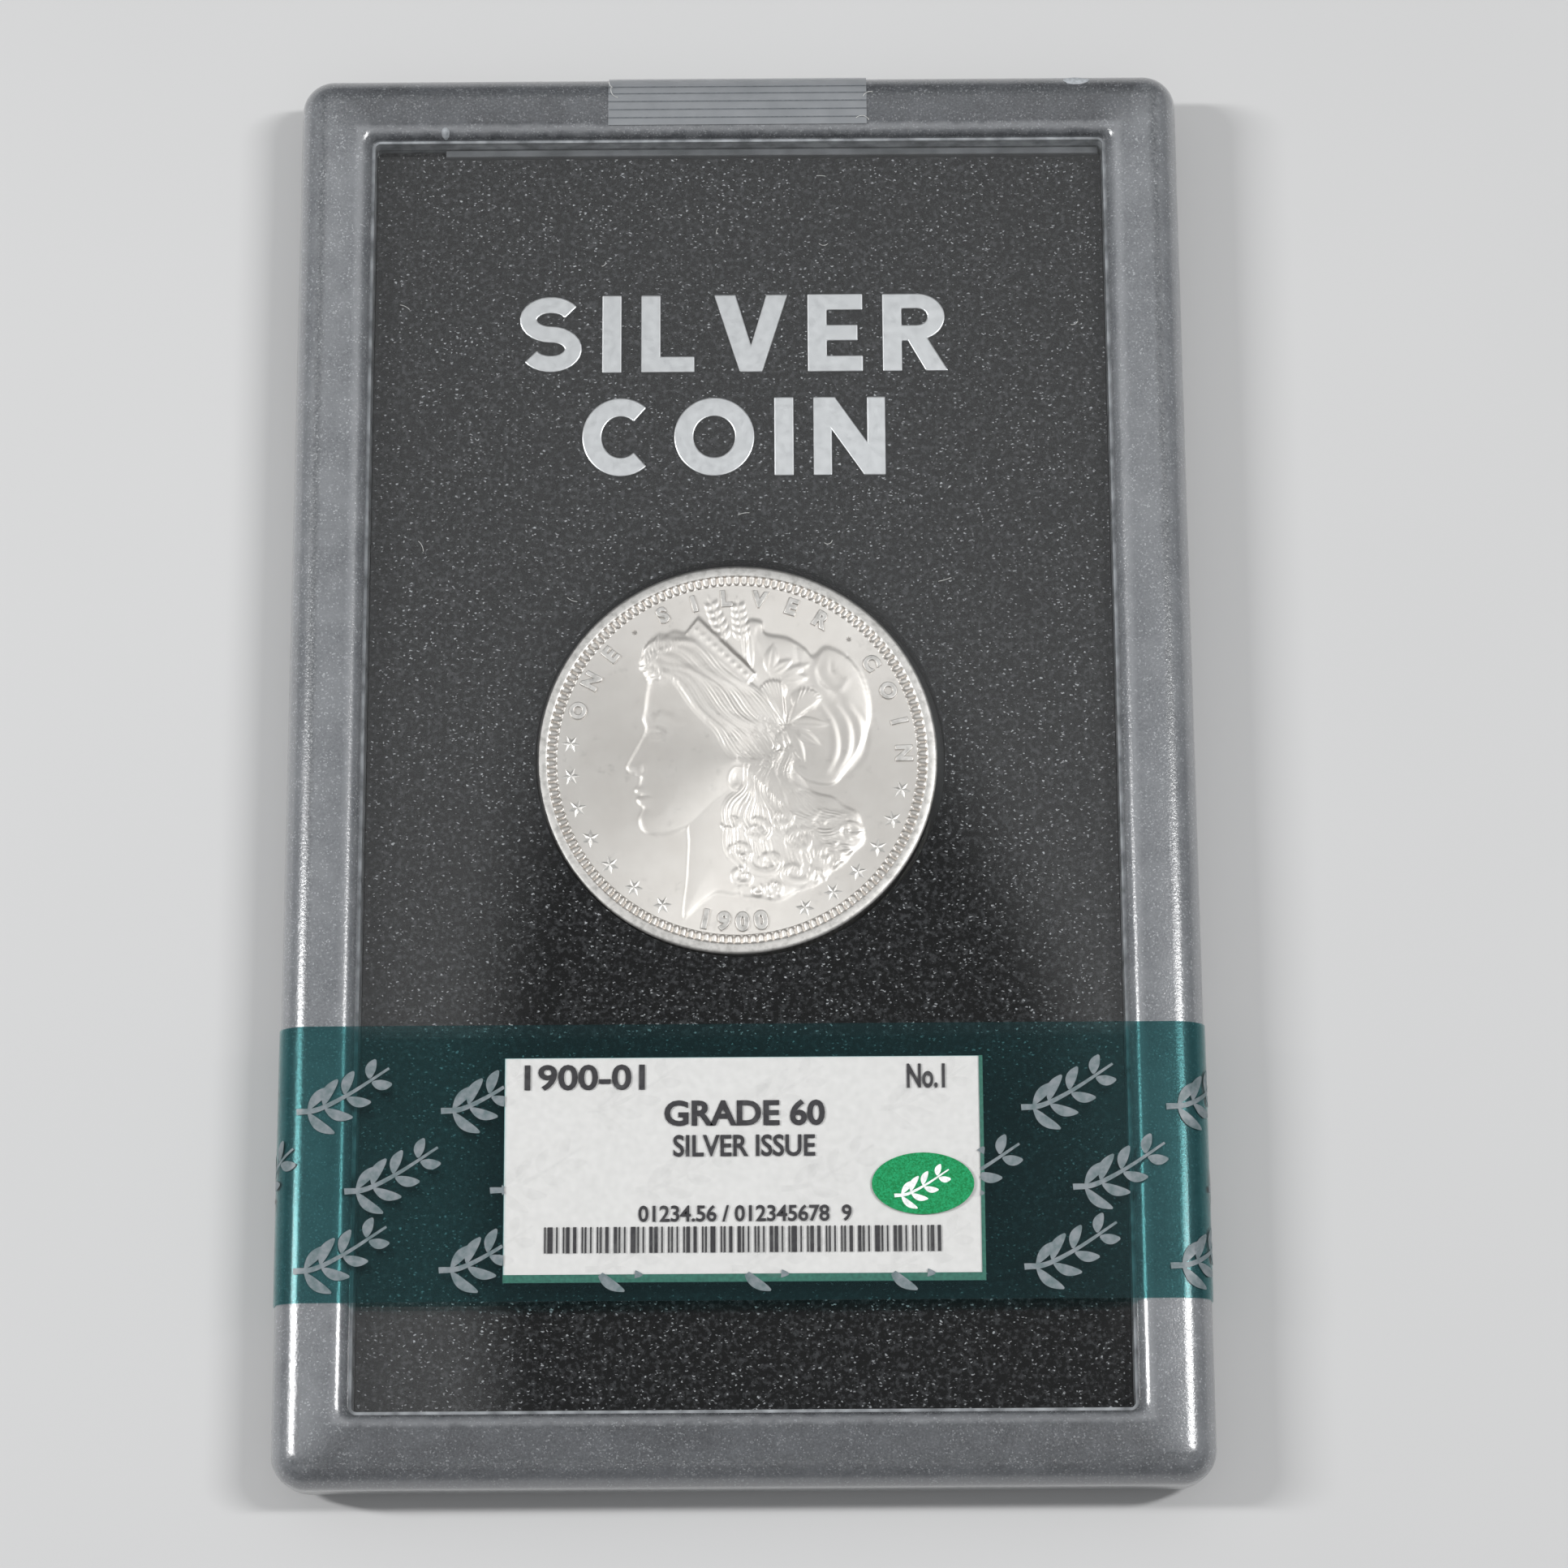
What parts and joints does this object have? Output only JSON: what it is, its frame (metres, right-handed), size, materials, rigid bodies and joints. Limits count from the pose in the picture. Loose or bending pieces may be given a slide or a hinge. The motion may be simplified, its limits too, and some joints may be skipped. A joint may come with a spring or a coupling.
{
  "type": "graded coin slab",
  "caption": "Sealed clear two-shell coin slab with a frosted frame, black insert with raised letters, loose silver coin, printed green grading band and seal tape.",
  "frame": {"origin": "bottom centre of the whole object, lying face up, on the underside of the band and the tape", "axes": "+X to the slab's right, +Y to its top end, +Z out of its front face"},
  "size_m": [0.0864, 0.1378, 0.0099],
  "materials": {
    "clear_shell": "clear moulded plastic: polished windows, fine frosted frame",
    "black_insert": "black, fine leather-like grain",
    "coin_silver": "bright satin struck silver",
    "letter_silver": "satin silver foil with bright edges",
    "label_paper": "white, black print",
    "green_film": "translucent dark green film with a repeated silver-grey print",
    "green_foil": "green glitter foil",
    "clear_tape": "clear tape with fine ruled lines"
  },
  "bodies": {
    "case": {"front_shell": "clear_shell", "rear_shell": "clear_shell", "insert": "black_insert", "letter_1_1_s": "letter_silver", "letter_1_2_i": "letter_silver", "letter_1_3_l": "letter_silver", "letter_1_4_v": "letter_silver", "letter_1_5_e": "letter_silver", "letter_1_6_r": "letter_silver", "letter_2_1_c": "letter_silver", "letter_2_2_o": "letter_silver", "letter_2_3_i": "letter_silver", "letter_2_4_n": "letter_silver", "grade_label": "label_paper", "grading_band": "green_film", "approval_sticker": "green_foil", "seal_tape": "clear_tape"},
    "coin": {"coin": "coin_silver"}
  },
  "joints": [
    {"name": "coin_turn", "type": "hinge", "parent": "case", "child": "coin", "pos_m": [-0.0004, -0.00003, 0.00445], "axis": [0, 0, 1], "continuous": true}
  ]
}
